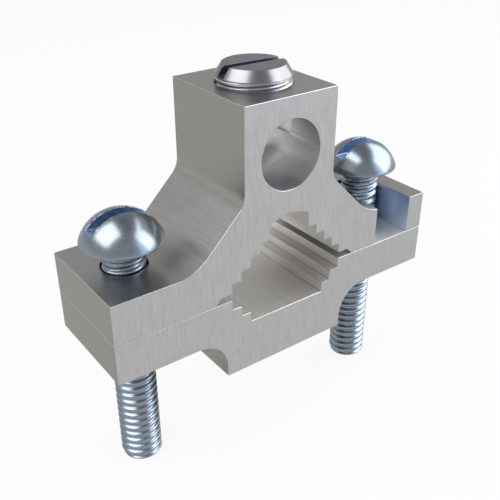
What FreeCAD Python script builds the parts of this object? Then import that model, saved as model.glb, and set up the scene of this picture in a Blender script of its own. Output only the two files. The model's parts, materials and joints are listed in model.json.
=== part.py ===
import FreeCAD, Part
import math
import os
import Sketcher

# Two-piece grounding clamp for a water pipe, in millimetres.
# +X runs along the clamp, the pipe and the conductor run along Y, +Z is up.
# The origin is on the parting plane of the two jaws, at mid-depth and mid-length.

doc = FreeCAD.newDocument("grounding_clamp")

# Driving dimensions
SIZES = [
    # Both jaws, cut from extruded bar
    ("body_depth", 17.5, "length of both jaws along the pipe"),
    ("tower_width", 16.0, "width of the conductor tower"),
    ("screw_offset", 14.4, "tower side to the axis of a clamp screw"),
    ("ear_overhang", 6.6, "axis of a clamp screw to the end of the ear"),
    ("ear_thickness", 6.3, "upper ears"),
    ("jaw_thickness", 6.35, "lower jaw at its ears"),
    # Flare from the tower down to the ears
    ("flare_rise", 8.2, "ear top to the corner of slope and tower side"),
    ("flare_angle", 45.0, "slope of the flare, from level, in degrees"),
    ("flare_top_radius", 3.5, "fillet between tower side and slope"),
    ("flare_foot_radius", 7.0, "fillet between slope and ear top"),
    # Stepped pipe opening, shared by the two jaws
    ("tooth_width", 1.65, "width and height of one tooth"),
    ("arch_width", 7.2, "width of the arch above the top teeth"),
    ("arch_side", 2.3, "straight side of the arch"),
    ("arch_rise", 1.0, "rise of the arch above its sides"),
    ("relief_height", 1.05, "relief over the parting plane beside the teeth"),
    ("relief_length", 2.9, "reach of that relief past the last tooth"),
    # Boss under the lower jaw
    ("boss_width", 22.4, "width of the boss"),
    ("boss_radius", 5.0, "hollow corner between boss and ear"),
    ("boss_side", 1.9, "straight side of the boss below that corner"),
    # Conductor hole
    ("bore_diameter", 10.36, "hole for the grounding conductor"),
    ("bore_floor", 3.69, "metal between the arch and the conductor hole"),
    ("bore_cover", 3.2, "metal between the conductor hole and the tower top"),
    # Clamp screws
    ("screw_diameter", 6.35, "over the threads"),
    ("screw_length", 38.1, "under the head"),
    ("screw_tip", 0.6, "chamfer at the tip"),
    ("head_diameter", 11.8, "round head"),
    ("head_height", 4.6, "round head"),
    ("head_rim", 0.3, "radius of the head's lower rim"),
    ("head_gap", 3.7, "ear top to the underside of a head"),
    ("head_slot_width", 1.85, "screwdriver slot"),
    ("head_slot_depth", 2.3, "screwdriver slot"),
    ("left_turn", -3.0, "turn of the left screw's slot, in degrees"),
    ("right_turn", -4.0, "turn of the right screw's slot, in degrees"),
    # Set screw
    ("set_diameter", 11.1, "over the threads"),
    ("set_rise", 2.64, "top of the set screw above the tower"),
    ("set_cone_width", 0.95, "cone at the top, across its slope"),
    ("set_cone_height", 1.44, "cone at the top, along the axis"),
    ("set_tip", 0.5, "chamfer at the tip"),
    ("set_tip_gap", 0.1, "tip of the set screw above the conductor hole"),
    ("set_slot_width", 1.4, "screwdriver slot"),
    ("set_slot_depth", 1.4, "screwdriver slot"),
    ("set_turn", -3.0, "turn of the set screw's slot, in degrees"),
    # Clearances
    ("thread_clearance", 0.05, "tapped hole over the screw, on the radius"),
    ("ear_clearance", 0.2, "left ear's hole over the screw, on the radius"),
    ("slot_clearance", 0.12, "right ear's slot beside the swinging screw"),
]
UPPER_TEETH = 4
LOWER_TEETH = 3
CUT_MARGIN = 1.0

sheet = doc.addObject("Spreadsheet::Sheet", "Sizes")
for row, (alias, size, note) in enumerate(SIZES, start=1):
    sheet.set("A%d" % row, alias)
    sheet.set("B%d" % row, str(size))
    sheet.set("C%d" % row, note)
    sheet.setAlias("B%d" % row, alias)
doc.recompute()

# Lengths that follow from the driving dimensions, as expressions for the features
HALF_TOWER = "Sizes.tower_width / 2"
SCREW_X = "(Sizes.tower_width / 2 + Sizes.screw_offset)"
SCREW_SPACING = "(Sizes.tower_width + 2 * Sizes.screw_offset)"
HALF_LENGTH = "(Sizes.tower_width / 2 + Sizes.screw_offset + Sizes.ear_overhang)"
OPENING_X = "(Sizes.arch_width / 2 + %d * Sizes.tooth_width)" % UPPER_TEETH
ARCH_SPRING = "(Sizes.relief_height + %d * Sizes.tooth_width + Sizes.arch_side)" % UPPER_TEETH
BORE_RADIUS = "(Sizes.bore_diameter / 2)"
BORE_Z = "(%s + Sizes.arch_rise + Sizes.bore_floor + %s)" % (ARCH_SPRING, BORE_RADIUS)
TOWER_TOP = "(%s + %s + Sizes.bore_cover)" % (BORE_Z, BORE_RADIUS)
SCREW_RADIUS = "(Sizes.screw_diameter / 2)"
SET_RADIUS = "(Sizes.set_diameter / 2)"
SET_LENGTH = "(Sizes.set_rise + Sizes.bore_cover - Sizes.set_tip_gap)"
TAPPED_RADIUS = "(%s + Sizes.thread_clearance)" % SET_RADIUS
# The jaw swings round the left screw, so the right screw leaves its slot along an arc
SWING_SHIFT = "(%s - sqrt(%s ^ 2 - (Sizes.body_depth / 2) ^ 2))" % (SCREW_SPACING, SCREW_SPACING)
SLOT_OUTER = "(%s + %s + Sizes.slot_clearance)" % (SCREW_X, SCREW_RADIUS)
SLOT_INNER = "(%s - %s - %s - Sizes.slot_clearance)" % (SCREW_X, SWING_SHIFT, SCREW_RADIUS)


def value(expression):
    """Number that an expression has for the sizes in the sheet."""
    return float(sheet.evalExpression(expression.replace("Sizes.", "")))


def new_body(name):
    """Body for one piece, with its own name."""
    body = doc.addObject("PartDesign::Body", name)
    body.Label = name
    return body


def new_sketch(body, name, role):
    """Sketch on one of the body's origin planes."""
    sketch = body.newObject("Sketcher::SketchObject", name)
    plane = [item for item in body.Origin.OriginFeatures if item.Role == role][0]
    sketch.AttachmentSupport = [(plane, "")]
    sketch.MapMode = "FlatFace"
    return sketch


def bind(sketch, expression, *constraint):
    """Dimension of a sketch, tied to the sheet."""
    index = sketch.addConstraint(Sketcher.Constraint(*constraint, value(expression)))
    sketch.setExpression("Constraints[%d]" % index, expression)


def rule(sketch, *constraint):
    """Constraint of a sketch that has no size."""
    sketch.addConstraint(Sketcher.Constraint(*constraint))


def point(x, y):
    return FreeCAD.Vector(x, y, 0)


def line(sketch, start, end):
    return sketch.addGeometry(Part.LineSegment(point(*start), point(*end)), False)


def circle_shape(centre, radius):
    return Part.Circle(point(*centre), FreeCAD.Vector(0, 0, 1), radius)


def arc(sketch, centre, radius, start_angle, end_angle):
    curve = Part.ArcOfCircle(circle_shape(centre, radius), start_angle, end_angle)
    return sketch.addGeometry(curve, False)


def chain(sketch, corners):
    """Closed outline of straight lines, level or upright where the corners say so."""
    lines = []
    for start, end in zip(corners, corners[1:] + corners[:1]):
        lines.append(line(sketch, start, end))
        if math.isclose(start[1], end[1]):
            rule(sketch, "Horizontal", lines[-1])
        elif math.isclose(start[0], end[0]):
            rule(sketch, "Vertical", lines[-1])
    for first, second in zip(lines, lines[1:] + lines[:1]):
        rule(sketch, "Coincident", first, 2, second, 1)
    return lines


def finish_feature(body, feature):
    body.Tip = feature
    doc.recompute()
    return feature


def pad_both_ways(body, name, sketch, length):
    pad = body.newObject("PartDesign::Pad", name)
    pad.Profile = sketch
    pad.Midplane = True
    pad.setExpression("Length", length)
    return finish_feature(body, pad)


def cut_through(body, name, sketch):
    pocket = body.newObject("PartDesign::Pocket", name)
    pocket.Profile = sketch
    pocket.Type = "ThroughAll"
    pocket.Midplane = True
    return finish_feature(body, pocket)


def cut_round(body, name, sketch):
    """Cut turned about the sketch's upright axis."""
    groove = body.newObject("PartDesign::Groove", name)
    groove.Profile = sketch
    groove.ReferenceAxis = (sketch, ["V_Axis"])
    groove.Angle = 360.0
    return finish_feature(body, groove)


def mirror_across_middle(body, name, features):
    """Second half of a piece that was drawn on the +X side only."""
    mirrored = body.newObject("PartDesign::Mirrored", name)
    plane = [item for item in body.Origin.OriginFeatures if item.Role == "YZ_Plane"][0]
    mirrored.MirrorPlane = (plane, [""])
    mirrored.Originals = features
    mirrored.Refine = True
    return finish_feature(body, mirrored)


def circle_sketch(body, name, role, x_expression, y_expression, radius):
    """Circle for a hole. A coordinate of None lies on the sketch's own axis."""
    sketch = new_sketch(body, name, role)
    x = value(x_expression) if x_expression else 0
    y = value(y_expression) if y_expression else 0
    circle = sketch.addGeometry(circle_shape((x, y), value(radius)), False)
    bind(sketch, radius, "Radius", circle)
    if x_expression:
        bind(sketch, x_expression, "DistanceX", -1, 1, circle, 3)
    else:
        rule(sketch, "PointOnObject", circle, 3, -2)
    if y_expression:
        bind(sketch, y_expression, "DistanceY", -1, 1, circle, 3)
    else:
        rule(sketch, "PointOnObject", circle, 3, -1)
    return sketch


def upper_jaw_outline(body):
    """Right half of the tower, flare and ear, seen from the front."""
    sketch = new_sketch(body, "upper_outline", "XZ_Plane")
    end, ear, top = value(HALF_LENGTH), value("Sizes.ear_thickness"), value(TOWER_TOP)
    wall, slope = value(HALF_TOWER), math.radians(value("Sizes.flare_angle"))
    corner = ear + value("Sizes.flare_rise")
    foot = wall + (corner - ear) / math.tan(slope)
    top_radius, foot_radius = value("Sizes.flare_top_radius"), value("Sizes.flare_foot_radius")
    top_reach = top_radius * math.tan((math.pi / 2 - slope) / 2)
    foot_reach = foot_radius * math.tan(slope / 2)
    slope_start = (foot - foot_reach * math.cos(slope), ear + foot_reach * math.sin(slope))
    slope_end = (wall + top_reach * math.cos(slope), corner - top_reach * math.sin(slope))
    base = line(sketch, (0, 0), (end, 0))
    side = line(sketch, (end, 0), (end, ear))
    ear_top = line(sketch, (end, ear), (foot + foot_reach, ear))
    foot_centre = (foot + foot_reach, ear + foot_radius)
    foot_arc = arc(sketch, foot_centre, foot_radius, 1.5 * math.pi - slope, 1.5 * math.pi)
    ramp = line(sketch, slope_start, slope_end)
    top_centre = (wall + top_radius, corner + top_reach)
    top_arc = arc(sketch, top_centre, top_radius, math.pi, 1.5 * math.pi - slope)
    tower_side = line(sketch, (wall, corner + top_reach), (wall, top))
    tower_top = line(sketch, (wall, top), (0, top))
    middle = line(sketch, (0, top), (0, 0))
    meeting = sketch.addGeometry(Part.Point(point(wall, corner)), True)
    for level in (base, ear_top, tower_top):
        rule(sketch, "Horizontal", level)
    for upright in (side, tower_side, middle):
        rule(sketch, "Vertical", upright)
    rule(sketch, "Coincident", base, 1, -1, 1)
    rule(sketch, "Coincident", base, 2, side, 1)
    rule(sketch, "Coincident", side, 2, ear_top, 1)
    rule(sketch, "Tangent", ear_top, 2, foot_arc, 2)
    rule(sketch, "Tangent", foot_arc, 1, ramp, 1)
    rule(sketch, "Tangent", ramp, 2, top_arc, 2)
    rule(sketch, "Tangent", top_arc, 1, tower_side, 1)
    rule(sketch, "Coincident", tower_side, 2, tower_top, 1)
    rule(sketch, "Coincident", tower_top, 2, middle, 1)
    rule(sketch, "Coincident", middle, 2, base, 1)
    rule(sketch, "PointOnObject", meeting, 1, ramp)
    rule(sketch, "PointOnObject", meeting, 1, tower_side)
    bind(sketch, HALF_LENGTH, "DistanceX", base, 1, base, 2)
    bind(sketch, "Sizes.ear_thickness", "DistanceY", side, 1, side, 2)
    bind(sketch, HALF_TOWER, "DistanceX", tower_top, 2, tower_top, 1)
    bind(sketch, TOWER_TOP, "DistanceY", middle, 2, middle, 1)
    bind(sketch, "Sizes.ear_thickness + Sizes.flare_rise", "DistanceY", -1, 1, meeting, 1)
    bind(sketch, "Sizes.flare_foot_radius", "Radius", foot_arc)
    bind(sketch, "Sizes.flare_top_radius", "Radius", top_arc)
    angle = sketch.addConstraint(Sketcher.Constraint("Angle", -1, 1, ramp, 1, math.pi - slope))
    sketch.setExpression("Constraints[%d]" % angle, "180 - Sizes.flare_angle")
    return sketch


def upper_opening_outline(body):
    """Right half of the toothed pipe opening in the upper jaw, with its arch and relief."""
    sketch = new_sketch(body, "upper_opening", "XZ_Plane")
    step, arch_x, spring = value("Sizes.tooth_width"), value("Sizes.arch_width") / 2, value(ARCH_SPRING)
    rise, relief = value("Sizes.arch_rise"), value("Sizes.relief_height")
    reach = value(OPENING_X) + value("Sizes.relief_length")
    arch_radius = (arch_x ** 2 + rise ** 2) / (2 * rise)
    arch_start = math.asin((arch_radius - rise) / arch_radius)
    arch = arc(sketch, (0, spring + rise - arch_radius), arch_radius, arch_start, math.pi / 2)
    corners = [(arch_x, spring)]
    for tooth in range(UPPER_TEETH + 1):
        x = arch_x + tooth * step
        z = relief + (UPPER_TEETH - tooth) * step
        corners.append((x, z))
        corners.append((x + step, z) if tooth < UPPER_TEETH else (reach - relief, z))
    corners += [(reach, 0), (0, 0), (0, spring + rise)]
    lines = []
    for start, end in zip(corners, corners[1:]):
        lines.append(line(sketch, start, end))
    for first, second in zip(lines, lines[1:]):
        rule(sketch, "Coincident", first, 2, second, 1)
    rule(sketch, "Coincident", arch, 1, lines[0], 1)
    rule(sketch, "Coincident", arch, 2, lines[-1], 2)
    rule(sketch, "PointOnObject", arch, 3, -2)
    relief_top, slant, base, middle = lines[-4:]
    risers, treads = lines[0:-4:2], lines[1:-4:2]
    for riser in risers + [middle]:
        rule(sketch, "Vertical", riser)
    for tread in treads + [relief_top, base]:
        rule(sketch, "Horizontal", tread)
    for riser, tread in zip(risers[1:], treads):
        rule(sketch, "Equal", riser, treads[0])
        if tread != treads[0]:
            rule(sketch, "Equal", tread, treads[0])
    rule(sketch, "Coincident", base, 2, -1, 1)
    bind(sketch, "Sizes.tooth_width", "DistanceX", treads[0], 1, treads[0], 2)
    bind(sketch, "Sizes.arch_width / 2", "DistanceX", -1, 1, risers[0], 1)
    bind(sketch, "Sizes.arch_side", "DistanceY", risers[0], 2, risers[0], 1)
    bind(sketch, "Sizes.arch_rise", "DistanceY", arch, 1, arch, 2)
    bind(sketch, "Sizes.relief_height", "DistanceY", slant, 2, slant, 1)
    bind(sketch, "Sizes.relief_length", "DistanceX", risers[-1], 2, slant, 2)
    bind(sketch, "Sizes.relief_height", "DistanceX", slant, 1, slant, 2)
    return sketch


def ear_slot_outline(body):
    """Slot of the right ear: open to the front, round behind the screw."""
    sketch = new_sketch(body, "ear_slot", "XY_Plane")
    inner, outer = value(SLOT_INNER), value(SLOT_OUTER)
    radius = (outer - inner) / 2
    mouth = -value("Sizes.body_depth") / 2 - CUT_MARGIN
    back = arc(sketch, (inner + radius, 0), radius, 0, math.pi)
    left = line(sketch, (inner, 0), (inner, mouth))
    front = line(sketch, (inner, mouth), (outer, mouth))
    right = line(sketch, (outer, mouth), (outer, 0))
    rule(sketch, "Tangent", back, 2, left, 1)
    rule(sketch, "Coincident", left, 2, front, 1)
    rule(sketch, "Coincident", front, 2, right, 1)
    rule(sketch, "Tangent", right, 2, back, 1)
    rule(sketch, "Horizontal", front)
    rule(sketch, "Vertical", left)
    rule(sketch, "PointOnObject", back, 3, -1)
    bind(sketch, SLOT_INNER, "DistanceX", -1, 1, left, 1)
    bind(sketch, SLOT_OUTER, "DistanceX", -1, 1, right, 2)
    bind(sketch, "Sizes.body_depth / 2 + %s" % CUT_MARGIN, "DistanceY", front, 2, -1, 1)
    return sketch


def set_screw_hole_outline(body):
    """Half section of the tapped hole, from the axis of the conductor hole up through the top."""
    sketch = new_sketch(body, "set_hole_outline", "XZ_Plane")
    radius, bottom, lid = value(TAPPED_RADIUS), value(BORE_Z), value(TOWER_TOP) + CUT_MARGIN
    lines = chain(sketch, [(0, bottom), (radius, bottom), (radius, lid), (0, lid)])
    ledge, wall, top, middle = lines
    rule(sketch, "PointOnObject", ledge, 1, -2)
    bind(sketch, TAPPED_RADIUS, "DistanceX", ledge, 1, ledge, 2)
    bind(sketch, BORE_Z, "DistanceY", -1, 1, ledge, 1)
    bind(sketch, "%s + %s" % (TOWER_TOP, CUT_MARGIN), "DistanceY", -1, 1, middle, 1)
    return sketch


def make_clamp_body():
    """Upper jaw: tower with the conductor hole, flares, ears and the toothed opening."""
    body = new_body("clamp_body")
    pad = pad_both_ways(body, "half_bar", upper_jaw_outline(body), "Sizes.body_depth")
    opening = cut_through(body, "half_opening", upper_opening_outline(body))
    mirror_across_middle(body, "whole_bar", [pad, opening])
    bore = circle_sketch(body, "bore_circle", "XZ_Plane", None, BORE_Z, BORE_RADIUS)
    cut_through(body, "conductor_hole", bore)
    ear_radius = "(%s + Sizes.ear_clearance)" % SCREW_RADIUS
    left_hole = circle_sketch(body, "left_circle", "XY_Plane", "-" + SCREW_X, None, ear_radius)
    cut_through(body, "left_ear_hole", left_hole)
    cut_through(body, "right_ear_slot", ear_slot_outline(body))
    cut_round(body, "set_screw_hole", set_screw_hole_outline(body))
    return body


def lower_jaw_outline(body):
    """Right half of the plate and boss, seen from the front."""
    sketch = new_sketch(body, "lower_outline", "XZ_Plane")
    end, plate = value(HALF_LENGTH), value("Sizes.jaw_thickness")
    boss, radius = value("Sizes.boss_width") / 2, value("Sizes.boss_radius")
    bottom = plate + radius + value("Sizes.boss_side")
    top = line(sketch, (0, 0), (end, 0))
    side = line(sketch, (end, 0), (end, -plate))
    under = line(sketch, (end, -plate), (boss + radius, -plate))
    corner = arc(sketch, (boss + radius, -plate - radius), radius, math.pi / 2, math.pi)
    boss_side = line(sketch, (boss, -plate - radius), (boss, -bottom))
    foot = line(sketch, (boss, -bottom), (0, -bottom))
    middle = line(sketch, (0, -bottom), (0, 0))
    for level in (top, under, foot):
        rule(sketch, "Horizontal", level)
    for upright in (side, boss_side, middle):
        rule(sketch, "Vertical", upright)
    rule(sketch, "Coincident", top, 1, -1, 1)
    rule(sketch, "Coincident", top, 2, side, 1)
    rule(sketch, "Coincident", side, 2, under, 1)
    rule(sketch, "Tangent", under, 2, corner, 1)
    rule(sketch, "Tangent", corner, 2, boss_side, 1)
    rule(sketch, "Coincident", boss_side, 2, foot, 1)
    rule(sketch, "Coincident", foot, 2, middle, 1)
    rule(sketch, "Coincident", middle, 2, top, 1)
    bind(sketch, HALF_LENGTH, "DistanceX", top, 1, top, 2)
    bind(sketch, "Sizes.jaw_thickness", "DistanceY", side, 2, side, 1)
    bind(sketch, "Sizes.boss_width / 2", "DistanceX", foot, 2, foot, 1)
    bind(sketch, "Sizes.boss_radius", "Radius", corner)
    bind(sketch, "Sizes.boss_side", "DistanceY", boss_side, 2, boss_side, 1)
    return sketch


def lower_opening_outline(body):
    """Right half of the toothed opening in the lower jaw."""
    sketch = new_sketch(body, "lower_opening", "XZ_Plane")
    step, mouth = value("Sizes.tooth_width"), value(OPENING_X)
    corners = [(0, 0), (mouth, 0)]
    for tooth in range(LOWER_TEETH):
        corners.append((mouth - tooth * step, -(tooth + 1) * step))
        if tooth < LOWER_TEETH - 1:
            corners.append((mouth - (tooth + 1) * step, -(tooth + 1) * step))
    corners.append((0, -LOWER_TEETH * step))
    lines = chain(sketch, corners)
    top, risers, treads = lines[0], lines[1:-2:2], lines[2:-2:2]
    for edge in risers[1:] + treads:
        rule(sketch, "Equal", edge, risers[0])
    rule(sketch, "Coincident", top, 1, -1, 1)
    bind(sketch, OPENING_X, "DistanceX", top, 1, top, 2)
    bind(sketch, "Sizes.tooth_width", "DistanceY", risers[0], 2, risers[0], 1)
    return sketch


def make_lower_jaw():
    """Lower jaw: plate with the toothed opening, a boss under it and two tapped holes."""
    body = new_body("lower_jaw")
    pad = pad_both_ways(body, "half_bar_lower", lower_jaw_outline(body), "Sizes.body_depth")
    opening = cut_through(body, "half_opening_lower", lower_opening_outline(body))
    mirror_across_middle(body, "whole_bar_lower", [pad, opening])
    tapped = "(%s + Sizes.thread_clearance)" % SCREW_RADIUS
    for side, sign in (("left", "-"), ("right", "")):
        circle = circle_sketch(body, side + "_tap_circle", "XY_Plane", sign + SCREW_X, None, tapped)
        cut_through(body, side + "_tapped_hole", circle)
    return body


def revolve(body, name, sketch):
    """Turned piece: the sketch's upright axis is its own."""
    turned = body.newObject("PartDesign::Revolution", name)
    turned.Profile = sketch
    turned.ReferenceAxis = (sketch, ["V_Axis"])
    turned.Angle = 360.0
    return finish_feature(body, turned)


def driver_slot(body, name, width, depth, top, reach):
    """Screwdriver slot across the top of a screw, along its own X axis."""
    sketch = new_sketch(body, name + "_outline", "YZ_Plane")
    half, floor, lid = value(width) / 2, value(top) - value(depth), value(top) + CUT_MARGIN
    lines = chain(sketch, [(-half, floor), (half, floor), (half, lid), (-half, lid)])
    bind(sketch, width, "DistanceX", lines[0], 1, lines[0], 2)
    bind(sketch, "%s / 2" % width, "DistanceX", -1, 1, lines[0], 2)
    bind(sketch, "%s - %s" % (top, depth), "DistanceY", -1, 1, lines[0], 1)
    bind(sketch, "%s + %s" % (depth, CUT_MARGIN), "DistanceY", lines[1], 1, lines[1], 2)
    pocket = body.newObject("PartDesign::Pocket", name)
    pocket.Profile = sketch
    pocket.Midplane = True
    pocket.setExpression("Length", "%s + %s" % (reach, CUT_MARGIN))
    return finish_feature(body, pocket)


def round_head_screw(name, x_expression, turn):
    """Slotted round head machine screw, drawn with the underside of its head at zero."""
    body = new_body(name)
    sketch = new_sketch(body, name + "_profile", "XZ_Plane")
    shank, length, tip = value(SCREW_RADIUS), value("Sizes.screw_length"), value("Sizes.screw_tip")
    head, height = value("Sizes.head_diameter") / 2, value("Sizes.head_height")
    rim = value("Sizes.head_rim")
    arm, lift = head - rim, height - rim
    centre_z = (lift ** 2 - arm ** 2 - rim ** 2) / (2 * (lift - rim))
    meeting_angle = math.atan2(rim - centre_z, arm)
    crown_arc = arc(sketch, (0, centre_z), height - centre_z, meeting_angle, math.pi / 2)
    rim_arc = arc(sketch, (arm, rim), rim, 1.5 * math.pi, 2 * math.pi + meeting_angle)
    corners = [(arm, 0), (shank, 0), (shank, tip - length), (shank - tip, -length)]
    corners += [(0, -length), (0, height)]
    lines = []
    for start, end in zip(corners, corners[1:]):
        lines.append(line(sketch, start, end))
    under, side, chamfer, end_face, middle = lines
    for first, second in zip(lines, lines[1:]):
        rule(sketch, "Coincident", first, 2, second, 1)
    rule(sketch, "Coincident", middle, 2, crown_arc, 2)
    rule(sketch, "Tangent", crown_arc, 1, rim_arc, 2)
    rule(sketch, "Tangent", rim_arc, 1, under, 1)
    rule(sketch, "Horizontal", under)
    rule(sketch, "Vertical", side)
    rule(sketch, "Horizontal", end_face)
    rule(sketch, "PointOnObject", middle, 1, -2)
    rule(sketch, "PointOnObject", middle, 2, -2)
    rule(sketch, "PointOnObject", crown_arc, 3, -2)
    rule(sketch, "PointOnObject", under, 2, -1)
    bind(sketch, "Sizes.head_rim", "Radius", rim_arc)
    bind(sketch, "Sizes.head_diameter / 2 - Sizes.head_rim", "DistanceX", -1, 1, rim_arc, 3)
    bind(sketch, "Sizes.head_height", "DistanceY", -1, 1, middle, 2)
    bind(sketch, SCREW_RADIUS, "DistanceX", -1, 1, under, 2)
    bind(sketch, "Sizes.screw_length", "DistanceY", middle, 1, -1, 1)
    bind(sketch, "Sizes.screw_tip", "DistanceX", chamfer, 2, chamfer, 1)
    bind(sketch, "Sizes.screw_tip", "DistanceY", chamfer, 2, chamfer, 1)
    revolve(body, name + "_blank", sketch)
    driver_slot(body, name + "_slot", "Sizes.head_slot_width", "Sizes.head_slot_depth",
                "Sizes.head_height", "Sizes.head_diameter")
    place(body, x_expression, "Sizes.ear_thickness + Sizes.head_gap", turn)
    return body


def make_set_screw():
    """Headless slotted screw with a coned top, drawn with its tip at zero."""
    body = new_body("set_screw")
    sketch = new_sketch(body, "set_screw_profile", "XZ_Plane")
    radius, length, tip = value(SET_RADIUS), value(SET_LENGTH), value("Sizes.set_tip")
    cone_x, cone_z = value("Sizes.set_cone_width"), value("Sizes.set_cone_height")
    lines = chain(sketch, [(0, 0), (radius - tip, 0), (radius, tip), (radius, length - cone_z),
                           (radius - cone_x, length), (0, length)])
    tip_face, chamfer, side, cone, top_face, middle = lines
    rule(sketch, "Coincident", tip_face, 1, -1, 1)
    bind(sketch, "Sizes.set_tip", "DistanceX", chamfer, 1, chamfer, 2)
    bind(sketch, "Sizes.set_tip", "DistanceY", chamfer, 1, chamfer, 2)
    bind(sketch, SET_RADIUS, "DistanceX", -1, 1, side, 1)
    bind(sketch, "Sizes.set_cone_width", "DistanceX", cone, 2, cone, 1)
    bind(sketch, "Sizes.set_cone_height", "DistanceY", cone, 1, cone, 2)
    bind(sketch, SET_LENGTH, "DistanceY", middle, 2, middle, 1)
    revolve(body, "set_screw_blank", sketch)
    driver_slot(body, "set_screw_slot", "Sizes.set_slot_width", "Sizes.set_slot_depth",
                SET_LENGTH, "Sizes.set_diameter")
    place(body, "0", "%s + Sizes.set_rise - %s" % (TOWER_TOP, SET_LENGTH), "Sizes.set_turn")
    return body


def place(body, x_expression, z_expression, turn):
    """Stand a turned piece at its place, turned about its own upright axis."""
    spot = "create(<<vector>>; %s; 0; %s)" % (x_expression, z_expression)
    spin = "create(<<rotation>>; create(<<vector>>; 0; 0; 1); %s)" % turn
    body.setExpression("Placement", "create(<<placement>>; %s; %s)" % (spot, spin))
    doc.recompute()


PIECES = [
    make_clamp_body(),
    make_lower_jaw(),
    round_head_screw("left_screw", "-" + SCREW_X, "Sizes.left_turn"),
    round_head_screw("right_screw", SCREW_X, "Sizes.right_turn"),
    make_set_screw(),
]
doc.recompute()

# Nothing is written unless every feature and every solid came out right
for item in doc.Objects:
    if "Invalid" in item.State or "Error" in item.State:
        raise RuntimeError("failed feature: %s %s" % (item.Name, item.State))
for piece in PIECES:
    if piece.Shape.isNull() or not piece.Shape.isValid() or len(piece.Shape.Solids) != 1:
        raise RuntimeError("bad solid: %s" % piece.Label)

os.makedirs("parts", exist_ok=True)
for piece in PIECES:
    piece.Shape.exportStep(os.path.join("parts", piece.Label + ".step"))
    box = piece.Shape.BoundBox
    print("%s volume %.2f x %.2f..%.2f y %.2f..%.2f z %.2f..%.2f" % (
        piece.Label, piece.Shape.Volume, box.XMin, box.XMax, box.YMin, box.YMax, box.ZMin, box.ZMax))
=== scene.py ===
import json
import math

import bmesh
import bpy
from bpy.props import FloatProperty, FloatVectorProperty, IntProperty, PointerProperty
from bpy.types import Operator, Panel, PropertyGroup
from mathutils import Matrix, Vector


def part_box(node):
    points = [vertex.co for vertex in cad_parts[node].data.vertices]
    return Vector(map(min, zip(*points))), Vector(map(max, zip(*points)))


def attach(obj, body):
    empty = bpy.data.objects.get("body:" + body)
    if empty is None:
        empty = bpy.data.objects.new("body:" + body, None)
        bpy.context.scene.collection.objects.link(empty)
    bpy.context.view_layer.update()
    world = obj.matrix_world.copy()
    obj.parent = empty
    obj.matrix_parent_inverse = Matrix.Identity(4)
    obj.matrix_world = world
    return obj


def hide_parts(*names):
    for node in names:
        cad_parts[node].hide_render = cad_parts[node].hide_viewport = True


bl_info = {
    "name": "Pipe Grounding Clamp",
    "version": (1, 0, 0),
    "blender": (4, 5, 0),
    "location": "3D View > Sidebar > Clamp",
    "description": "Finishes the jaws and screws of a pipe grounding clamp and sets up its studio",
    "category": "Object",
}

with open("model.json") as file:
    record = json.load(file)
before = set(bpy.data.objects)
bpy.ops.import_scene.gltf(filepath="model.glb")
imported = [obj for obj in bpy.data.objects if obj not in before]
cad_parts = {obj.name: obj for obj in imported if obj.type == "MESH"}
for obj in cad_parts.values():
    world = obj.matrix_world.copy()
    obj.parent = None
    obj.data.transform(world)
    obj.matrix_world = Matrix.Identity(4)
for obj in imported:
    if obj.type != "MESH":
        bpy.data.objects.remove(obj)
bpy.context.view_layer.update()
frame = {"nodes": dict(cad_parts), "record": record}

MM = 0.001
WELD = 0.001 * MM


def linear(code):
    """Linear colour of a hex code such as "#B4B6BA"."""
    channels = [int(code[i:i + 2], 16) / 255 for i in (1, 3, 5)]
    return [c / 12.92 if c <= 0.04045 else ((c + 0.055) / 1.055) ** 2.4 for c in channels]


# Places that the frame gives

# The bar's two cut ends lie this far from the middle
CUT_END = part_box("clamp_body")[1].y
BORE = next(mount for mount in frame["record"]["mounts"] if mount["name"] == "conductor_hole")
BORE_CENTRE = Vector(BORE["pos_m"])
BORE_RADIUS = BORE["dims"]["r_mm"] * MM


def screw_foot(node):
    """Point on a screw's axis, level with its tip."""
    low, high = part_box(node)
    return Vector(((low.x + high.x) / 2, (low.y + high.y) / 2, low.z))


SCREW_FEET = {node: screw_foot(node) for node in ("left_screw", "right_screw")}


# Kinds of setting

def size(name, millimetres, description):
    """Length, given in millimetres."""
    return FloatProperty(name=name, description=description, default=millimetres * MM, min=0,
                         unit="LENGTH", precision=5)


def turn(name, degrees, description):
    """Angle, given in degrees."""
    return FloatProperty(name=name, description=description, default=math.radians(degrees),
                         subtype="ANGLE")


def colour(name, code, description):
    """Colour, given as a hex code."""
    return FloatVectorProperty(name=name, description=description, default=linear(code),
                               subtype="COLOR", min=0, max=1)


def watts(name, power, description):
    """Power of a lamp."""
    return FloatProperty(name=name, description=description, default=power, min=0, unit="POWER")


class JawSettings(PropertyGroup):
    edge_break: size("Edge break", 0.1, "Rounding left where the cut bar was deburred")
    drill_radius: size("Drill radius", 5.05, "Tap drill that marks the floor of the conductor hole")
    drill_reach: size("Drill reach", 3.3, "Axis of the conductor hole down to the drill's full width")
    drill_point: size("Drill point", 3.03, "Height of the drill's point")
    skin: colour("Extruded skin", "#8F8D87", "Mill finish of the bar's sides")
    # Painted light: a lighter colour blended in where the mill finish faces up, for the light it reflects
    top: colour("Skin with painted top light", "#A8A6A3", "Mill finish on top and on the slopes, painted lighter")
    # Painted light: a lighter colour that lifts the shade in the pipe opening
    inside: colour("Opening skin, painted lighter", "#D8D6D1", "Mill finish in the pipe opening")
    # Painted light: the brightest skin colour, which lifts the shade in the gap between the jaws
    parting: colour("Parting faces", "#E0E0DF", "Faces between the jaws, painted lighter")
    cut: colour("Cut end", "#AFAFAE", "Brushed ends of the bar")
    # Painted light: a lighter grey that lifts the shade in the conductor hole and the tapped hole
    bored: colour("Bored wall", "#D4D4D5", "Drilled and tapped walls of the tower")
    # Painted reflection: pale blue for the screw reflected in the slot walls, light enough to lift their
    # shade
    milled: colour("Milled wall", "#E2EDFF", "Walls of the ear slot and of the screw holes")
    edge: colour("Deburred edge", "#B2B2B4", "Bare bright edges")


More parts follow.
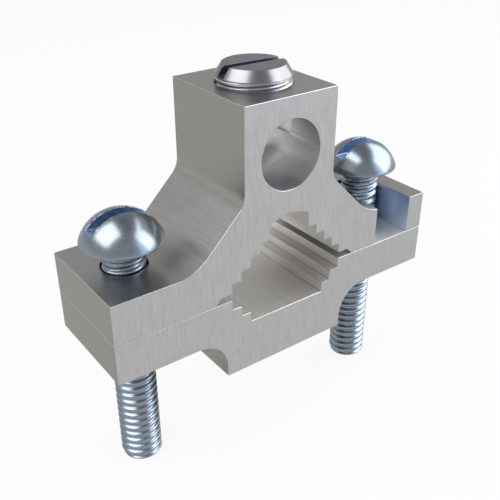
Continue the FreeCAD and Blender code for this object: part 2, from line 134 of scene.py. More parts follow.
class ClampScrewSettings(PropertyGroup):
    shank_radius: size("Thread radius", 3.175, "Over the threads")
    under_head: size("Length", 38.1, "Length under the head")
    pitch: size("Pitch", 1.27, "Distance between two turns of the thread")
    thread_depth: size("Thread depth", 0.48, "Crest to root, shallower than a standard thread's")
    head_radius: size("Head radius", 5.9, "Radius of the round head")
    head_height: size("Head height", 4.6, "Height of the round head")
    rim: size("Rim", 0.3, "Roundness of the head's lower rim")
    slot_width: size("Slot width", 1.85, "Width of the screwdriver slot")
    slot_depth: size("Slot depth", 2.3, "Depth of the screwdriver slot")
    slot_edge: size("Slot edge", 0.12, "Rounding of the slot's edges")
    left_turn: turn("Left turn", -3, "Turn of the left screw's slot")
    right_turn: turn("Right turn", -4, "Turn of the right screw's slot")
    left_start: turn("Left start", 0, "Where the left screw's thread starts")
    right_start: turn("Right start", 0, "Where the right screw's thread starts")
    plate: colour("Zinc plate", "#858F98", "Bright zinc plate on the heads")
    thread: colour("Plated thread", "#8A949F", "Bright zinc plate on the threads")
    # Painted light: a pale colour that lifts the shade under the head and its reflection in the ear top
    underside: colour("Underside", "#E6EEF8", "Plate under the head, painted lighter")
    # Painted light: bluer and lighter than the head, for the plate's reflections in the slot and its
    # shade
    slot: colour("Slot", "#A0B5CB", "Plate in the screwdriver slot")


class SetScrewSettings(PropertyGroup):
    pitch: size("Pitch", 1.27, "Distance between two turns of the thread")
    thread_depth: size("Thread depth", 0.62, "Crest to root")
    start: turn("Thread start", 0, "Where the thread starts")
    cone_width: size("Cone width", 0.95, "Cone at the top, from its outer rim inwards")
    cone_height: size("Cone height", 1.44, "Cone at the top, along the axis")
    land: size("Land", 0.16, "Straight rim under the cone")
    slot_width: size("Slot width", 1.4, "Width of the screwdriver slot")
    slot_depth: size("Slot depth", 1.4, "Depth of the screwdriver slot")
    slot_edge: size("Slot edge", 0.06, "Rounding of the slot's edges")
    slot_turn: turn("Turn", -3, "Turn of the slot")
    steel: colour("Steel", "#838287", "Turned steel")
    # Painted light: much lighter than the cap, which lifts the shade in the tapped hole
    thread: colour("Thread", "#B4B3B8", "Steel of the thread")
    slot: colour("Slot", "#70707C", "Steel in the screwdriver slot")


class StageSettings(PropertyGroup):
    segments: IntProperty(name="Segments", description="Facets round a turned piece", default=72,
                          min=24, max=128)
    camera_turn: turn("Camera turn", -36.533, "Camera's angle round the clamp")
    camera_tilt: turn("Camera tilt", 60.663, "Camera's angle from straight down")
    lens: FloatProperty(name="Lens", description="Focal length on a 36 mm sensor", default=51.48,
                        min=10, unit="CAMERA")
    floor: colour("Floor", "#E4E4E4", "Pale studio floor")
    room: colour("Room", "#F8F8F9", "White walls of the room")
    left_light: watts("Left light", 1.15, "Large soft box on the left")
    right_light: watts("Right light", 2.2, "Large soft box on the right")
    front_light: watts("Front light", 0.31, "Bluish soft box in front, on the right")
    front_tint: colour("Front tint", "#BFD6FF", "Colour of the soft box in front")


# Node trees

def add_node(tree, kind, inputs=None, **settings):
    """Add a node to a tree. Each input is a value, a socket, or a node whose first output it takes."""
    node = tree.nodes.new(kind)
    for name, setting in settings.items():
        setattr(node, name, setting)
    for name, given in (inputs or {}).items():
        source = given.outputs[0] if isinstance(given, bpy.types.Node) else given
        if isinstance(source, bpy.types.NodeSocket):
            tree.links.new(source, node.inputs[name])
        else:
            node.inputs[name].default_value = source
    return node


def new_material(name):
    """Material with an empty node tree, and the tree."""
    material = bpy.data.materials.new(name)
    material.use_nodes = True
    material.node_tree.nodes.clear()
    return material, material.node_tree


# A worn or oxidised metal brightens less towards its outline than a polished one
EDGE_TINT = (0.75, 0.75, 0.75, 1)
# The Mix node's sockets for two colours and their blend
MIX_FIRST, MIX_SECOND, MIX_RESULT = 6, 7, 2
# Levels between which nearly all of the grain's noise lies
NOISE_LOW, NOISE_HIGH = 0.3, 0.7
# How far up a surface faces, from where its painted top light begins to where it is full
PAINTED_LIGHT_FROM, PAINTED_LIGHT_FULL = 0.1, 0.7


def grained_metal(name, base, grain, tones, roughness, relief, upper=None):
    """Metal whose grain shows in tone, gloss and relief. The grain is a size in millimetres along X,
    Y and Z, and the relief a height in millimetres. The base colour turns to the upper one, if that
    is given, where the surface faces up: painted light for the brighter light that such faces reflect."""
    material, tree = new_material(name)
    place = add_node(tree, "ShaderNodeTexCoord")
    # Painted light: faces that look up are given the lighter upper colour
    if upper:
        facing = add_node(tree, "ShaderNodeSeparateXYZ", {0: place.outputs["Normal"]})
        share = add_node(tree, "ShaderNodeMapRange", {
            "Value": facing.outputs["Z"], "From Min": PAINTED_LIGHT_FROM, "From Max": PAINTED_LIGHT_FULL})
        blend = add_node(tree, "ShaderNodeMix", {
            "Factor": share, MIX_FIRST: (*base, 1), MIX_SECOND: (*upper, 1)}, data_type="RGBA")
        base = blend.outputs[MIX_RESULT]
    mapping = add_node(tree, "ShaderNodeMapping", {
        "Vector": place.outputs["Object"], "Scale": [1 / (length * MM) for length in grain]})
    noise = add_node(tree, "ShaderNodeTexNoise", {
        "Vector": mapping, "Scale": 1.0, "Detail": 3.0, "Roughness": 0.6})
    tone, gloss = (
        add_node(tree, "ShaderNodeMapRange", {
            "Value": noise, "From Min": NOISE_LOW, "From Max": NOISE_HIGH, "To Min": low, "To Max": high})
        for low, high in (tones, roughness))
    shade = add_node(tree, "ShaderNodeVectorMath", {0: base, "Scale": tone}, operation="SCALE")
    bump = add_node(tree, "ShaderNodeBump", {"Strength": 1.0, "Distance": relief * MM, "Height": noise})
    shader = add_node(tree, "ShaderNodeBsdfPrincipled", {
        "Metallic": 1.0, "Base Color": shade, "Roughness": gloss, "Specular Tint": EDGE_TINT,
        "Normal": bump})
    add_node(tree, "ShaderNodeOutputMaterial", {"Surface": shader})
    return material


# Meshes

# Edges of a machined piece that turn by more than this stay sharp
SHARP_ANGLE = math.radians(35)


def show_mesh(name, mesh):
    """Object of a mesh, at the origin of the scene."""
    piece = bpy.data.objects.new(name, mesh)
    bpy.context.scene.collection.objects.link(piece)
    return piece


def mesh_of(shape, name, materials):
    """Mesh of a bmesh, which is freed."""
    mesh = bpy.data.meshes.new(name)
    shape.to_mesh(mesh)
    shape.free()
    for material in materials:
        mesh.materials.append(material)
    return mesh


def settled_mesh(piece):
    """Plain mesh of an object with its modifiers carried out. The object goes."""
    evaluated = piece.evaluated_get(bpy.context.evaluated_depsgraph_get())
    mesh = bpy.data.meshes.new_from_object(evaluated)
    bpy.data.objects.remove(piece)
    return mesh


def cut_away(mesh, cutter):
    """Cut one mesh out of another. The new walls keep the cutter's material."""
    piece, tool = show_mesh("blank", mesh), show_mesh("cutter", cutter)
    cut = piece.modifiers.new("cut", "BOOLEAN")
    cut.operation = "DIFFERENCE"
    cut.solver = "EXACT"
    cut.material_mode = "TRANSFER"
    cut.object = tool
    result = settled_mesh(piece)
    bpy.data.objects.remove(tool)
    return result


def smooth_mesh(mesh, edge_width=0):
    """Round a mesh's sharp edges, if a width is given, and shade it smooth with flat faces flat."""
    mesh.shade_smooth()
    mesh.set_sharp_from_angle(angle=SHARP_ANGLE)
    piece = show_mesh("blank", mesh)
    if edge_width:
        rounding = piece.modifiers.new("rounding", "BEVEL")
        rounding.width = edge_width
        rounding.segments = 2
        rounding.limit_method = "ANGLE"
        rounding.angle_limit = SHARP_ANGLE
        rounding.use_clamp_overlap = False
    flat = piece.modifiers.new("flat faces", "WEIGHTED_NORMAL")
    flat.keep_sharp = not edge_width
    return settled_mesh(piece)


def turned_mesh(name, profile, segments, materials):
    """Solid turned about Z from a profile of radii and heights that starts and ends on the axis."""
    shape = bmesh.new()
    points = [shape.verts.new((radius, 0, height)) for radius, height in profile]
    edges = [shape.edges.new(pair) for pair in zip(points, points[1:])]
    bmesh.ops.spin(shape, geom=points + edges, axis=(0, 0, 1), cent=(0, 0, 0), angle=math.tau,
                   steps=segments)
    bmesh.ops.remove_doubles(shape, verts=shape.verts, dist=WELD)
    bmesh.ops.recalc_face_normals(shape, faces=shape.faces)
    return mesh_of(shape, name, materials)


def arc_points(centre, radius, start, end, steps):
    """Points along an arc, with both its ends."""
    angles = [start + (end - start) * i / steps for i in range(steps + 1)]
    return [(centre[0] + radius * math.cos(a), centre[1] + radius * math.sin(a)) for a in angles]


def join_meshes(name, *meshes):
    """One piece from several meshes in place."""
    shape, materials = bmesh.new(), []
    for mesh in meshes:
        earlier = set(shape.faces)
        shape.from_mesh(mesh)
        for face in set(shape.faces) - earlier:
            face.material_index += len(materials)
        materials += mesh.materials
    return show_mesh(name, mesh_of(shape, name, materials))


def stand_for(piece, node):
    """Let a finished piece ride with a CAD node's body and take the node's place."""
    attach(piece, node)
    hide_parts(node)


# Threads

THREAD_INPUTS = {
    "Radius": "NodeSocketFloat",
    "Depth": "NodeSocketFloat",
    "Pitch": "NodeSocketFloat",
    "Bottom": "NodeSocketFloat",
    "Top": "NodeSocketFloat",
    "Segments": "NodeSocketInt",
    "Rows": "NodeSocketInt",
    "Place": "NodeSocketVector",
    "Turn": "NodeSocketFloat",
    "Finish": "NodeSocketMaterial",
}
ROWS_IN_PITCH = 12
# Parts of a pitch: where a flank leaves the root, where it reaches the crest, and the crest's middle
ROOT_END, CREST_START, CREST_MIDDLE = 0.08, 0.42, 0.5


def thread_tree():
    """Node tree that winds a grid into a right-handed thread round Z, with a chamfered tip."""
    tree = bpy.data.node_groups.new("screw_thread", "GeometryNodeTree")
    for name, kind in THREAD_INPUTS.items():
        tree.interface.new_socket(name=name, in_out="INPUT", socket_type=kind)
    tree.interface.new_socket(name="Geometry", in_out="OUTPUT", socket_type="NodeSocketGeometry")
    given = add_node(tree, "NodeGroupInput").outputs
    # One turn more than the length needs, because every row climbs a pitch on its way round
    length = add_node(tree, "ShaderNodeMath", {0: given["Top"], 1: given["Bottom"]}, operation="SUBTRACT")
    pitches = add_node(tree, "ShaderNodeMath", {0: length, 1: given["Pitch"]}, operation="DIVIDE")
    whole = add_node(tree, "ShaderNodeMath", {0: pitches}, operation="CEIL")
    turns = add_node(tree, "ShaderNodeMath", {0: whole, 1: 1.0}, operation="ADD")
    columns = add_node(tree, "ShaderNodeMath", {0: given["Segments"], 1: 1.0}, operation="ADD")
    rows = add_node(tree, "ShaderNodeMath", {0: turns, 1: given["Rows"], 2: 1.0},
                    operation="MULTIPLY_ADD")
    grid = add_node(tree, "GeometryNodeMeshGrid", {
        "Size X": 1.0, "Size Y": 1.0, "Vertices X": columns, "Vertices Y": rows})
    # The grid lies round its middle, so half its size more gives the share of the way across it
    position = add_node(tree, "GeometryNodeInputPosition")
    spot = add_node(tree, "ShaderNodeSeparateXYZ", {0: position})
    around = add_node(tree, "ShaderNodeMath", {0: spot.outputs["X"], 1: 0.5}, operation="ADD")
    along = add_node(tree, "ShaderNodeMath", {0: spot.outputs["Y"], 1: 0.5}, operation="ADD")
    wound = add_node(tree, "ShaderNodeMath", {0: along, 1: turns}, operation="MULTIPLY")
    climbed = add_node(tree, "ShaderNodeMath", {0: wound, 1: around}, operation="ADD")
    started = add_node(tree, "ShaderNodeMath", {0: climbed, 1: 1.0}, operation="SUBTRACT")
    rise = add_node(tree, "ShaderNodeMath", {0: started, 1: given["Pitch"], 2: given["Bottom"]},
                    operation="MULTIPLY_ADD")
    height = add_node(tree, "ShaderNodeClamp", {
        "Value": rise, "Min": given["Bottom"], "Max": given["Top"]})
    # Flank of the thread, from its root to its crest and back in each turn
    root = add_node(tree, "ShaderNodeMath", {0: given["Radius"], 1: given["Depth"]}, operation="SUBTRACT")
    phase = add_node(tree, "ShaderNodeMath", {0: wound, 1: CREST_MIDDLE}, operation="PINGPONG")
    flank = add_node(tree, "ShaderNodeMapRange", {
        "Value": phase, "From Min": ROOT_END, "From Max": CREST_START, "To Min": root,
        "To Max": given["Radius"]}, interpolation_type="SMOOTHSTEP")
    # The chamfer of the tip widens as fast as it climbs
    above = add_node(tree, "ShaderNodeMath", {0: height, 1: given["Bottom"]}, operation="SUBTRACT")
    chamfer = add_node(tree, "ShaderNodeMath", {0: root, 1: above}, operation="ADD")
    reach = add_node(tree, "ShaderNodeMath", {0: flank, 1: chamfer}, operation="MINIMUM")
    angle = add_node(tree, "ShaderNodeMath", {0: around, 1: math.tau}, operation="MULTIPLY")
    cosine = add_node(tree, "ShaderNodeMath", {0: angle}, operation="COSINE")
    sine = add_node(tree, "ShaderNodeMath", {0: angle}, operation="SINE")
    x = add_node(tree, "ShaderNodeMath", {0: reach, 1: cosine}, operation="MULTIPLY")
    y = add_node(tree, "ShaderNodeMath", {0: reach, 1: sine}, operation="MULTIPLY")
    wall_point = add_node(tree, "ShaderNodeCombineXYZ", {"X": x, "Y": y, "Z": height})
    wall = add_node(tree, "GeometryNodeSetPosition", {"Geometry": grid, "Position": wall_point})
    # A flat disc closes the tip
    tip_place = add_node(tree, "ShaderNodeCombineXYZ", {"Z": given["Bottom"]})
    tip_disc = add_node(tree, "GeometryNodeMeshCircle", {"Vertices": given["Segments"], "Radius": root},
                        fill_type="NGON")
    tip_down = add_node(tree, "GeometryNodeFlipFaces", {"Mesh": tip_disc})
    tip = add_node(tree, "GeometryNodeTransform", {"Geometry": tip_down, "Translation": tip_place})
    body = add_node(tree, "GeometryNodeJoinGeometry", {0: wall})
    tree.links.new(tip.outputs[0], body.inputs[0])
    welded = add_node(tree, "GeometryNodeMergeByDistance", {"Geometry": body, "Distance": WELD})
    spin = add_node(tree, "ShaderNodeCombineXYZ", {"Z": given["Turn"]})
    placed = add_node(tree, "GeometryNodeTransform", {
        "Geometry": welded, "Translation": given["Place"], "Rotation": spin})
    smooth = add_node(tree, "GeometryNodeSetShadeSmooth", {"Geometry": placed})
    real = add_node(tree, "GeometryNodeRealizeInstances", {"Geometry": smooth})
    finished = add_node(tree, "GeometryNodeSetMaterial", {"Geometry": real, "Material": given["Finish"]})
    add_node(tree, "NodeGroupOutput", {"Geometry": finished})
    return tree


def thread_mesh(name, **inputs):
    """Plain mesh of the thread tree's result with these inputs."""
    tree = bpy.data.node_groups.get("screw_thread") or thread_tree()
    piece = show_mesh(name, bpy.data.meshes.new(name))
    modifier = piece.modifiers.new("thread", "NODES")
    modifier.node_group = tree
    for socket in tree.interface.items_tree:
        if socket.in_out == "INPUT":
            modifier[socket.identifier] = inputs[socket.name]
    return settled_mesh(piece)


# Jaws

# Places of a jaw's finishes in jaw_finishes
SKIN, INSIDE, PARTING, CUT, BORED, MILLED, EDGE = range(7)
# A face's normal stands at least this far up or down where the face is level
LEVEL = 0.6
# The tapped hole over the conductor hole is wider than it by less than this
TAP_MARGIN = 0.9 * MM
# Walls this near to a screw's axis along the clamp are those of its hole or slot
HOLE_REACH = 4.5 * MM
# The walls of the pipe opening lie within this distance of its middle, along the clamp and up
# together, and above this height
OPENING_REACH, OPENING_LOW = 15 * MM, -5.2 * MM
# Facets of one flat face turn by less than the first of these, and a deburred edge by more than
# the second
FLAT_ANGLE, DEBURRED_ANGLE = math.radians(1), math.radians(20)


def jaw_finishes(settings):
    """Materials of a jaw in the order SKIN, INSIDE, PARTING, CUT, BORED, MILLED, EDGE."""
    return [
        # Mill finish of extruded bar: warm, satin grey, with painted light that makes it brighter where
        # it faces up. The die's fine lines run along the bar and are drawn coarser than real, so that
        # they show.
        grained_metal("mill_finish_painted_top_light", settings.skin, grain=(0.16, 5, 0.16), tones=(0.93, 1.05),
                      roughness=(0.27, 0.34), relief=0.0002, upper=settings.top),
        # The same finish in the pipe opening and its relief: a brighter colour, painted light that lifts
        # the shade there.
        grained_metal("opening_aluminium_painted_light", settings.inside, grain=(0.3, 20, 0.3), tones=(0.94, 1.04),
                      roughness=(0.5, 0.6), relief=0.0006),
        # The faces where the jaws meet: the brightest skin colour, painted light that lifts the gap's
        # shade.
        grained_metal("parting_aluminium_painted_light", settings.parting, grain=(0.3, 20, 0.3), tones=(0.96, 1.02),
                      roughness=(0.5, 0.6), relief=0.0004),
        # Cut end of the bar, brushed upright: cool light grey with short streaks, drawn coarser than
        # real.
        grained_metal("brushed_aluminium", settings.cut, grain=(0.16, 2, 2.2), tones=(0.87, 1.09),
                      roughness=(0.36, 0.46), relief=0.0014),
        # Drilled or tapped wall in the tower: even grey, faintly marked across by the tool. Its light
        # grey is painted light that lifts the shade in the holes.
        grained_metal("bored_aluminium_painted_light", settings.bored, grain=(6, 0.25, 0.25), tones=(0.95, 1.03),
                      roughness=(0.38, 0.46), relief=0.0004),
        # Milled wall of the ear slot: smooth and pale blue, a painted reflection of the screw beside it
        # that also lifts the slot's shade.
        grained_metal("milled_aluminium_painted_reflection", settings.milled, grain=(0.25, 0.25, 4), tones=(0.98, 1.02),
                      roughness=(0.28, 0.34), relief=0.0001),
        # Deburred edge: bare and bright, a thin light line wherever it meets the light.
        grained_metal("deburred_aluminium", settings.edge, grain=(0.6, 0.6, 0.6), tones=(0.92, 1.0),
                      roughness=(0.28, 0.36), relief=0.001),
    ]


def on_cut_end(point):
    """Whether a point lies on one of the bar's two cut ends."""
    return abs(abs(point.y) - CUT_END) < WELD


def in_conductor_hole(point):
    """Whether a point lies on the walls of the conductor hole or where the tapped hole meets them."""
    across = math.hypot(point.x - BORE_CENTRE.x, point.z - BORE_CENTRE.z)
    return across < BORE_RADIUS + TAP_MARGIN and abs(point.y) < CUT_END - WELD


def in_tapped_hole(point):
    """Whether a point lies in the set screw's tapped hole, over the conductor hole."""
    return point.z > BORE_CENTRE.z and math.hypot(point.x, point.y) < BORE_RADIUS + TAP_MARGIN


def is_outer_edge(edge):
    """Whether a jaw's edge is one that the die rounds or the workshop deburrs."""
    if len(edge.link_faces) != 2 or edge.calc_face_angle() < DEBURRED_ANGLE:
        return False
    start, end = (vert.co for vert in edge.verts)
    if in_conductor_hole((start + end) / 2):
        return False
    along_bar = math.hypot(start.x - end.x, start.z - end.z) < WELD
    level = abs(start.z - end.z) < WELD
    return along_bar or level or (on_cut_end(start) and on_cut_end(end))


def jaw_region(face):
    """Finish of a face of the bar, by its place and the way it faces."""
    middle, level = face.calc_center_median(), abs(face.normal.z) > LEVEL
    # INSIDE, PARTING, BORED and MILLED take lighter colours: painted light, and on MILLED a painted
    # reflection
    if on_cut_end(middle):
        return CUT
    if in_conductor_hole(middle) or (in_tapped_hole(middle) and not level):
        return BORED
    if not level and any(abs(middle.x - foot.x) < HOLE_REACH for foot in SCREW_FEET.values()):
        return MILLED
    if level and abs(middle.z) < WELD:
        return PARTING
    if abs(middle.x) + max(middle.z, 0) < OPENING_REACH and OPENING_LOW < middle.z:
        return INSIDE
    return SKIN


def jaw_mesh(node, settings, finishes):
    """A jaw's solid with whole faces, each with its finish, and rounded edges."""
    shape = bmesh.new()
    shape.from_mesh(frame["nodes"][node].data)
    bmesh.ops.remove_doubles(shape, verts=shape.verts, dist=WELD)
    bmesh.ops.dissolve_limit(shape, angle_limit=FLAT_ANGLE, verts=shape.verts, edges=shape.edges)
    for face in shape.faces:
        face.material_index = jaw_region(face)
    edges = [edge for edge in shape.edges if is_outer_edge(edge)]
    bmesh.ops.bevel(shape, geom=edges, offset=settings.edge_break, offset_type="OFFSET", segments=2,
                    profile=0.5, affect="EDGES", clamp_overlap=False, material=EDGE)
    return mesh_of(shape, node, finishes)


def tap_drill(settings, segments, finish):
    """The drill's point, as deep as it marks the floor of the conductor hole."""
    radius, top = settings.drill_radius, BORE_CENTRE.z + 0.5 * MM
    full_width = BORE_CENTRE.z - settings.drill_reach
    profile = [(0, full_width - settings.drill_point), (radius, full_width), (radius, top), (0, top)]
    return turned_mesh("drill", profile, segments, [finish])


class CLAMP_OT_upper_jaw(Operator):
    """Finish the upper jaw, with the drill's mark in the conductor hole"""
    bl_idname = "clamp.upper_jaw"
    bl_label = "Upper Jaw"

    def execute(self, context):
        settings, segments = context.scene.clamp_jaws, context.scene.clamp_stage.segments
        finishes = jaw_finishes(settings)
        drill = tap_drill(settings, segments, finishes[BORED])
        mesh = cut_away(jaw_mesh("clamp_body", settings, finishes), drill)
        piece = show_mesh("upper_jaw", smooth_mesh(mesh))
        stand_for(piece, "clamp_body")
        return {"FINISHED"}


class CLAMP_OT_lower_jaw(Operator):
    """Finish the lower jaw"""
    bl_idname = "clamp.lower_jaw"
    bl_label = "Lower Jaw"

    def execute(self, context):
        settings = context.scene.clamp_jaws
        mesh = jaw_mesh("lower_jaw", settings, jaw_finishes(settings))
        piece = show_mesh("lower_jaw_finished", smooth_mesh(mesh))
        stand_for(piece, "lower_jaw")
        return {"FINISHED"}


# Screws

# Length of the bar that cuts a screwdriver slot, more than any head is wide
CUTTER_LENGTH = 20 * MM
# Facets of a round head's crown and of its rim, seen from the side
CROWN_STEPS, RIM_STEPS = 28, 8
# A face whose normal is below this looks straight down
DOWNWARD = -0.99
# How far the shank runs on into the head, and a cap's tip into its thread
SHANK_OVERLAP, CAP_OVERLAP = 0.2 * MM, 1 * MM


def slotted_head(head, settings, top, finish):
    """Cut the screwdriver slot across a head that stands on Z, and round its edges."""
    shape = bmesh.new()
    spread = Matrix.Diagonal((CUTTER_LENGTH, settings.slot_width, 2 * settings.slot_depth, 1))
    bmesh.ops.create_cube(shape, size=1, matrix=Matrix.Translation((0, 0, top)) @ spread)
    cutter = mesh_of(shape, "slot_cutter", [finish])
    return smooth_mesh(cut_away(head, cutter), settings.slot_edge)


def zinc_finishes(settings):
    """Bright zinc plate over steel on a screw's head, thread, underside and slot, with painted light in
    the underside's and the slot's colours. Its mottle from the bath is drawn coarser than real."""
    return (
        # The head: cool grey and glossy, with a faint mottle.
        grained_metal("bright_zinc_plate", settings.plate, grain=(0.3, 0.3, 0.3), tones=(0.95, 1.04),
                      roughness=(0.23, 0.28), relief=0.0001),
        # The rolled threads, which shine a little brighter and bluer.
        grained_metal("zinc_plate_on_thread", settings.thread, grain=(0.25, 0.25, 0.25),
                      tones=(0.95, 1.03), roughness=(0.24, 0.3), relief=0.0002),
        # Under the head: pale and bright, painted light that lifts its shade and its reflection in the
        # ear top.
        grained_metal("zinc_under_head_painted_light", settings.underside, grain=(0.25, 0.25, 0.25),
                      tones=(0.97, 1.02), roughness=(0.2, 0.26), relief=0.0004),
        # In the slot: bluer, lighter and duller, painted light for the plate's blue reflections and the
        # shade.
        grained_metal("zinc_in_slot_painted_light", settings.slot, grain=(0.5, 0.5, 0.5), tones=(0.85, 1.05),
                      roughness=(0.26, 0.36), relief=0.002),
    )


def round_head_profile(settings):
    """Half section of a round head that stands on its flat underside: a round crown, a small rim."""
    height, rim = settings.head_height, settings.rim
    arm, lift = settings.head_radius - rim, height - rim
    centre = (lift ** 2 - arm ** 2 - rim ** 2) / (2 * (lift - rim))
    meeting = math.atan2(rim - centre, arm)
    points = arc_points((0, centre), height - centre, math.pi / 2, meeting, CROWN_STEPS)
    points += arc_points((arm, rim), rim, meeting, -math.pi / 2, RIM_STEPS)[1:]
    return points + [(0, 0)]


def round_head(settings, segments, plate, painted_underside, deep):
    """Slotted round head that stands on the origin."""
    head = turned_mesh("head", round_head_profile(settings), segments, [plate, painted_underside])
    # Painted light: faces that look straight down take the pale underside finish
    for face in head.polygons:
        face.material_index = int(face.normal.z < DOWNWARD)
    return slotted_head(head, settings, settings.head_height, deep)


class CLAMP_OT_clamp_screws(Operator):
    """Make the two round head screws that draw the jaws together"""
    bl_idname = "clamp.clamp_screws"
    bl_label = "Clamp Screws"

    def execute(self, context):
        settings, segments = context.scene.clamp_screws, context.scene.clamp_stage.segments
        # Painted light: the underside and slot finishes are lighter colours that lift their shade
        plate, rolled, painted_underside, deep = zinc_finishes(settings)
        for node, slot_turn, start in (("left_screw", settings.left_turn, settings.left_start),
                                       ("right_screw", settings.right_turn, settings.right_start)):
            foot = SCREW_FEET[node]
            seat = foot + Vector((0, 0, settings.under_head))
            head = round_head(settings, segments, plate, painted_underside, deep)
            head.transform(Matrix.Translation(seat) @ Matrix.Rotation(slot_turn, 4, "Z"))
            shank = thread_mesh("shank", Radius=settings.shank_radius, Depth=settings.thread_depth,
                                Pitch=settings.pitch, Bottom=0.0, Top=settings.under_head + SHANK_OVERLAP,
                                Segments=segments, Rows=ROWS_IN_PITCH, Place=foot, Turn=start,
                                Finish=rolled)
            stand_for(join_meshes(node + "_finished", head, shank), node)
        return {"FINISHED"}


def steel_finishes(settings):
    """Steel of the set screw on its cap, thread and slot."""
    return (
        # Turned steel: neutral grey with fine rings from the lathe.
        grained_metal("turned_steel", settings.steel, grain=(8, 8, 0.14), tones=(0.94, 1.04),
                      roughness=(0.22, 0.3), relief=0.001),
        # Its thread, brighter: painted light that lifts the shade in the tapped hole.
        grained_metal("threaded_steel_painted_light", settings.thread, grain=(0.3, 0.3, 0.3), tones=(0.95, 1.03),
                      roughness=(0.26, 0.34), relief=0.001),
        # Sawn slot in it: darker and duller, marked along by the saw.
        grained_metal("sawn_steel", settings.slot, grain=(4, 0.2, 0.2), tones=(0.85, 1.05),
                      roughness=(0.3, 0.4), relief=0.002),
    )


class CLAMP_OT_set_screw(Operator):
    """Make the slotted set screw in the tower"""
    bl_idname = "clamp.set_screw"
    bl_label = "Set Screw"

    def execute(self, context):
        settings, segments = context.scene.clamp_set_screw, context.scene.clamp_stage.segments
        steel, threaded, sawn = steel_finishes(settings)
        low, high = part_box("set_screw")
        radius, length = high.x, high.z - low.z
        cone_foot = length - settings.cone_height
        cap_foot = cone_foot - settings.land
        # The cone, its land and the undercut where the thread runs out
        profile = [(0, length), (radius - settings.cone_width, length), (radius, cone_foot),
                   (radius, cap_foot), (radius - settings.thread_depth, cap_foot - settings.thread_depth),
                   (0, cap_foot - CAP_OVERLAP)]
        cap = slotted_head(turned_mesh("cap", profile, segments, [steel]), settings, length, sawn)
        cap.transform(Matrix.Translation((0, 0, low.z)) @ Matrix.Rotation(settings.slot_turn, 4, "Z"))
        # Painted light: the thread takes the lighter thread finish
        thread = thread_mesh("thread", Radius=radius, Depth=settings.thread_depth, Pitch=settings.pitch,
                             Bottom=0.0, Top=cap_foot, Segments=segments, Rows=ROWS_IN_PITCH,
                             Place=(0, 0, low.z), Turn=settings.start, Finish=threaded)
        stand_for(join_meshes("set_screw_finished", cap, thread), "set_screw")
        return {"FINISHED"}


# Studio

# Half the floor's width, in metres
FLOOR_REACH = 1.5
WHITE = (1, 1, 1)
# The card's whiteness to the eye: how much of it is its own light, and how strong that is. The rest
# takes the object's shadow.
OWN_LIGHT, OWN_STRENGTH = 0.95, 0.96
# Heights of a direction between which the walls and then the ceiling darken, and what is left
WALL_FADE, CEILING_FADE = (0.06, 0.24, 0.64), (0.6, 0.95, 0.55)
CAMERA_PLACE = (-59.293 * MM, -79.120 * MM, 56.533 * MM)
SENSOR_WIDTH = 36


def pale_card(tint):
    """Matte pale card, white to the eye and in the metal, with the object's soft shadow."""
    card, tree = new_material("pale_card")
    card.cycles.emission_sampling = "NONE"
    paths = add_node(tree, "ShaderNodeLightPath").outputs
    direct = add_node(tree, "ShaderNodeMath", {0: paths["Is Camera Ray"], 1: paths["Is Glossy Ray"]},
                      operation="MAXIMUM")
    seen = add_node(tree, "ShaderNodeMath", {0: direct, 1: paths["Is Transmission Ray"]},
                    operation="MAXIMUM")
    matte = add_node(tree, "ShaderNodeBsdfDiffuse", {"Color": (*tint, 1)})
    white = add_node(tree, "ShaderNodeBsdfDiffuse", {"Color": (*WHITE, 1)})
    glow = add_node(tree, "ShaderNodeEmission", {"Color": (*WHITE, 1), "Strength": OWN_STRENGTH})
    lifted = add_node(tree, "ShaderNodeMixShader", {0: OWN_LIGHT, 1: white, 2: glow})
    surface = add_node(tree, "ShaderNodeMixShader", {0: seen, 1: matte, 2: lifted})
    add_node(tree, "ShaderNodeOutputMaterial", {"Surface": surface})
    return card


def white_room(tint):
    """World of white walls on the floor, dimmer above the lamps' reach and dimmest overhead."""
    room = bpy.data.worlds.new("room")
    room.use_nodes = True
    tree = room.node_tree
    tree.nodes.clear()
    place = add_node(tree, "ShaderNodeTexCoord")
    direction = add_node(tree, "ShaderNodeSeparateXYZ", {0: place.outputs["Generated"]})
    walls, ceiling = (
        add_node(tree, "ShaderNodeMapRange", {
            "Value": direction.outputs["Z"], "From Min": start, "From Max": end, "To Min": 1.0,
            "To Max": dimmed})
        for start, end, dimmed in (WALL_FADE, CEILING_FADE))
    level = add_node(tree, "ShaderNodeMath", {0: walls, 1: ceiling}, operation="MULTIPLY")
    light = add_node(tree, "ShaderNodeBackground", {"Color": (*tint, 1), "Strength": level})
    add_node(tree, "ShaderNodeOutputWorld", {"Surface": light})
    return room


def soft_box(name, place, width, height, power, tint=WHITE):
    """Rectangular lamp that faces the clamp. Its place and sizes are in metres."""
    lamp = bpy.data.lights.new(name, "AREA")
    lamp.shape = "RECTANGLE"
    lamp.size, lamp.size_y = width, height
    lamp.energy, lamp.color = power, tint
    box = bpy.data.objects.new(name, lamp)
    box.location = place
    box.rotation_euler = (-box.location).to_track_quat("-Z", "Y").to_euler()
    bpy.context.scene.collection.objects.link(box)


def photo_camera(settings):
    """Camera that sees the clamp as the photograph does."""
    camera = bpy.data.cameras.new("camera")
    camera.lens, camera.sensor_width = settings.lens, SENSOR_WIDTH
    camera.clip_start, camera.clip_end = 0.005, 10
    view = bpy.data.objects.new("camera", camera)
    view.location = CAMERA_PLACE
    view.rotation_euler = (settings.camera_tilt, 0, settings.camera_turn)
    bpy.context.scene.collection.objects.link(view)
    return view


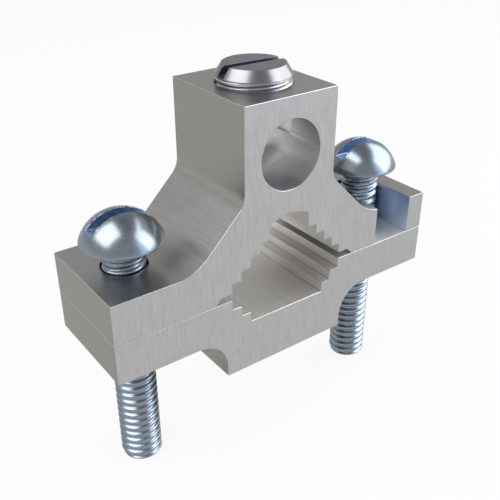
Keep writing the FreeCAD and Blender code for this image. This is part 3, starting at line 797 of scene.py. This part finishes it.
class CLAMP_OT_stage(Operator):
    """Set up the floor, the soft boxes, the room light and the camera"""
    bl_idname = "clamp.stage"
    bl_label = "Stage"

    def execute(self, context):
        settings, scene = context.scene.clamp_stage, context.scene
        floor_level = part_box("left_screw")[0].z
        shape = bmesh.new()
        bmesh.ops.create_grid(shape, x_segments=8, y_segments=8, size=FLOOR_REACH,
                              matrix=Matrix.Translation((0, 0, floor_level)))
        card = pale_card(settings.floor)
        show_mesh("floor", mesh_of(shape, "floor", [card]))
        scene.world = white_room(settings.room)
        soft_box("left_box", (-0.202, 0.024, 0.294), width=0.31, height=0.30, power=settings.left_light)
        soft_box("right_box", (0.330, -0.120, 0.230), width=0.52, height=0.40, power=settings.right_light)
        soft_box("front_box", (0.213, -0.304, 0.150), width=0.24, height=0.26,
                 power=settings.front_light, tint=settings.front_tint)
        scene.camera = photo_camera(settings)
        scene.view_settings.view_transform = "Standard"
        return {"FINISHED"}


# Panel and registration

# Each group of settings in the scene, with the operators that read it
PANEL_BOXES = {
    "clamp_jaws": ("clamp.upper_jaw", "clamp.lower_jaw"),
    "clamp_screws": ("clamp.clamp_screws",),
    "clamp_set_screw": ("clamp.set_screw",),
    "clamp_stage": ("clamp.stage",),
}


class CLAMP_PT_pieces(Panel):
    """Pieces of the clamp and their settings"""
    bl_idname = "CLAMP_PT_pieces"
    bl_label = "Grounding Clamp"
    bl_space_type = "VIEW_3D"
    bl_region_type = "UI"
    bl_category = "Clamp"

    def draw(self, context):
        for settings, operators in PANEL_BOXES.items():
            box = self.layout.box()
            for operator in operators:
                box.operator(operator)
            group = getattr(context.scene, settings)
            for name in group.__annotations__:
                box.prop(group, name)


SETTINGS = {
    "clamp_jaws": JawSettings,
    "clamp_screws": ClampScrewSettings,
    "clamp_set_screw": SetScrewSettings,
    "clamp_stage": StageSettings,
}

CLASSES = (*SETTINGS.values(), CLAMP_OT_upper_jaw, CLAMP_OT_lower_jaw, CLAMP_OT_clamp_screws,
           CLAMP_OT_set_screw, CLAMP_OT_stage, CLAMP_PT_pieces)


def register():
    for item in CLASSES:
        bpy.utils.register_class(item)
    for name, settings in SETTINGS.items():
        setattr(bpy.types.Scene, name, PointerProperty(type=settings))


def unregister():
    for name in SETTINGS:
        delattr(bpy.types.Scene, name)
    for item in reversed(CLASSES):
        bpy.utils.unregister_class(item)


def main():
    register()
    bpy.ops.clamp.upper_jaw()
    bpy.ops.clamp.lower_jaw()
    bpy.ops.clamp.clamp_screws()
    bpy.ops.clamp.set_screw()
    bpy.ops.clamp.stage()


if __name__ == "__main__":
    main()
